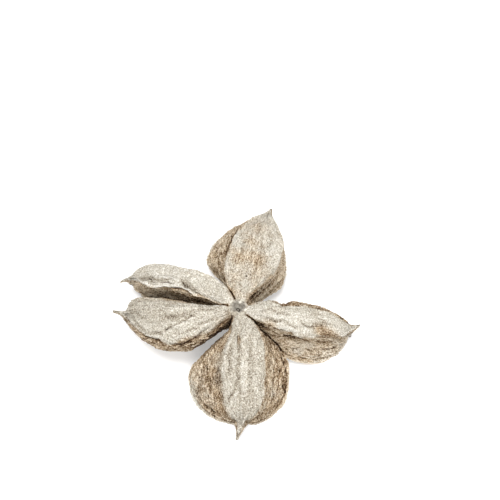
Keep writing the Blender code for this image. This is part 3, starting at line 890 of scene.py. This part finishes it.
def husk_lip(grain_group, fibre_group):
    """Split edge of the wall: pale, with brown lines along it."""
    material, tree, shader, place, skin = new_material("husk_lip")
    spots = placed_group(tree, grain_group, {"Place": place, "Grain Size": 0.0004, "Blotch Size": 0.004})
    lines = placed_group(tree, fibre_group, {"Skin": skin, "Width": 0.0008, "Stretch": 4.0})
    darkness = weighted(tree, 0.0, (spots["Grain"], 0.25), (spots["Blotches"], 0.35), (lines["Fibres"], 0.25),
                   (attribute(tree, "pale"), -0.2))
    colour = colour_ramp(tree, darkness, LIP_COLOURS)
    height = weighted(tree, 0.0, (spots["Grain"], -0.5), (lines["Fibres"], -0.5))
    finish_surface(tree, shader, colour, height, 0.00015, weighted(tree, 0.75, (spots["Grain"], 0.15)))
    return material


def husk_inside(grain_group, fibre_group):
    """Lining: dark felt with a grey-white bloom and papery streaks."""
    material, tree, shader, place, skin = new_material("husk_inside")
    spots = placed_group(tree, grain_group, {"Place": place, "Grain Size": 0.0005, "Blotch Size": 0.008})
    flecks = placed_group(tree, fibre_group, {"Skin": skin, "Width": 0.0009, "Stretch": 2.5})
    patches = step_up(tree, cloud(tree, place, 130.0, 3.0, 0.6), 0.42, 0.62)
    bloom = weighted(tree, -0.1, (spots["Grain"], 0.50), (flecks["Fibres"], 0.40), (patches, 0.35),
                     (attribute(tree, "pale"), 0.15), (spots["Pores"], -0.3))
    colour = colour_ramp(tree, bloom, LINING)
    height = weighted(tree, 0.0, (spots["Grain"], 0.6), (flecks["Fibres"], 0.4))
    finish_surface(tree, shader, colour, height, 0.00020, weighted(tree, 0.80, (spots["Grain"], 0.15)))
    return material


def stalk_scar(grain_group):
    """Grey broken wood where the stalk came off, and the pale husk round it, with painted shade
    down the hub's sides.
    """
    material, tree, shader, place, _ = new_material("stalk_scar")
    spots = placed_group(tree, grain_group, {"Place": place, "Grain Size": 0.0006, "Blotch Size": 0.0015})
    pale, greyed, shade_amount = (attribute(tree, name) for name in ("pale", "tone", "painted_shade"))
    # The hidden sky darkens the hub's sides: painted shade
    darkness = weighted(tree, 0.06, (pale, -0.24), (spots["Grain"], 0.24), (spots["Wrinkles"], 0.16),
                   (spots["Blotches"], 0.20), (shade_amount, 0.6), (greyed, 0.16))
    colour = blend(tree, greyed, colour_ramp(tree, darkness, GREYED), colour_ramp(tree, darkness, SCAR_COLOURS))
    roughness = weighted(tree, 0.80, (spots["Grain"], 0.15))
    finish_surface(tree, shader, colour, spots["Grain"], 0.00020, roughness)
    return material


def make_floor():
    bpy.ops.object.select_all(action="DESELECT")
    bpy.ops.mesh.primitive_plane_add(size=6, location=(0, 0, 0))
    floor = bpy.context.object
    floor.name = "floor"
    material = bpy.data.materials.new("floor_paper")
    material.use_nodes = True
    shader = material.node_tree.nodes["Principled BSDF"]
    shader.inputs["Base Color"].default_value = (0.72, 0.72, 0.72, 1)
    shader.inputs["Roughness"].default_value = 0.9
    shader.inputs["Emission Color"].default_value = (1, 1, 1, 1)
    shader.inputs["Emission Strength"].default_value = 0.32
    floor.data.materials.append(material)


def soft_light(name, place, size, power):
    bpy.ops.object.light_add(type="AREA", location=place)
    light = bpy.context.object
    light.name = name
    light.data.size = size
    light.data.energy = power
    light.rotation_euler = (-Vector(place)).to_track_quat("-Z", "Y").to_euler()


def make_studio():
    world = bpy.data.worlds.new("studio")
    bpy.context.scene.world = world
    world.use_nodes = True
    background = world.node_tree.nodes["Background"]
    background.inputs["Color"].default_value = (1, 1, 1, 1)
    background.inputs["Strength"].default_value = 0.46
    soft_light("softbox_top", (-0.10, 0.06, 0.8), 0.45, 8)
    soft_light("softbox_front", (0.05, -0.7, 0.5), 0.5, 4.0)
    soft_light("softbox_right", (0.7, 0.25, 0.35), 0.6, 3.0)
    bpy.context.scene.view_settings.view_transform = "Standard"


def make_camera():
    bpy.ops.object.camera_add(location=CAMERA_PLACE, rotation=(np.radians(90 - CAMERA_TILT), 0, 0))
    camera = bpy.context.object
    camera.data.lens = LENS
    camera.data.sensor_width = 36
    camera.data.clip_start = 0.01
    bpy.context.scene.camera = camera


make_camera()
make_floor()
make_studio()
grain = husk_grain_group()
fibres = husk_fibre_group()
make_follicles([finish(grain, fibres) for finish in (husk_outside, husk_lip, husk_inside)])
make_hub([stalk_scar(grain)])
